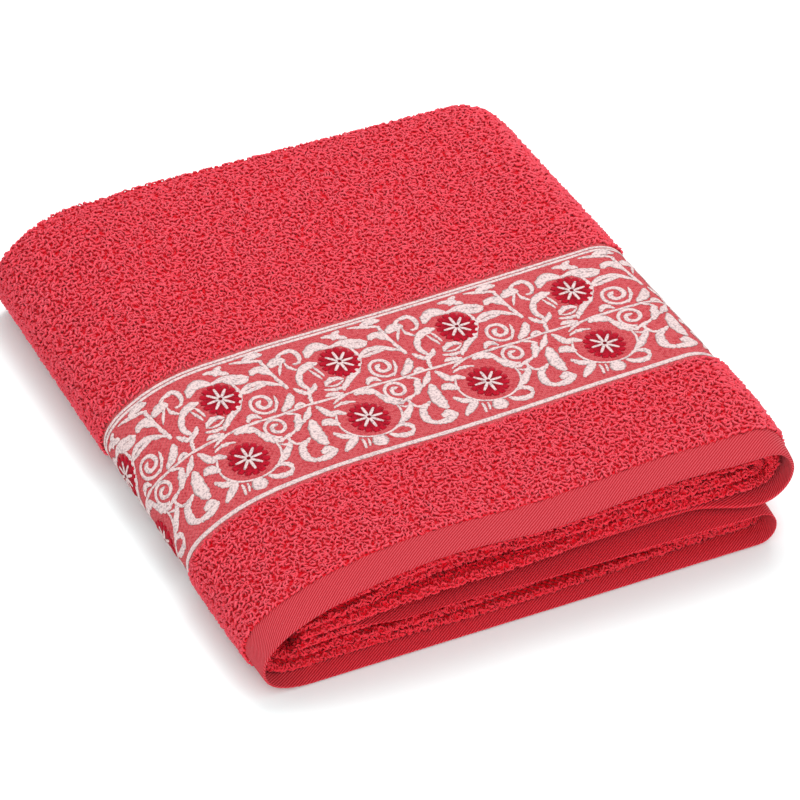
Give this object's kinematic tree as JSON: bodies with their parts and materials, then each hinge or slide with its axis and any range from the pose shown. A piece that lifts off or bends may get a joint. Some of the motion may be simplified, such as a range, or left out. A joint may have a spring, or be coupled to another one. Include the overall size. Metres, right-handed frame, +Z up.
{
  "type": "folded bath towel",
  "caption": "Terry bath towel folded into a rectangular stack, with a flat woven border and a hem along the front edge.",
  "frame": {"origin": "middle of the folded stack's bounding box, on the surface it rests on", "axes": "+X to the right along the front hem, +Y from the front hem to the back folds, +Z up"},
  "size_m": [0.2572, 0.309, 0.0511],
  "materials": {
    "terry": "coral red cotton terry pile, matt, with a flat woven border in coral, off-white and crimson and a twill hem"
  },
  "bodies": {
    "root": {"towel": "terry"}
  },
  "joints": []
}
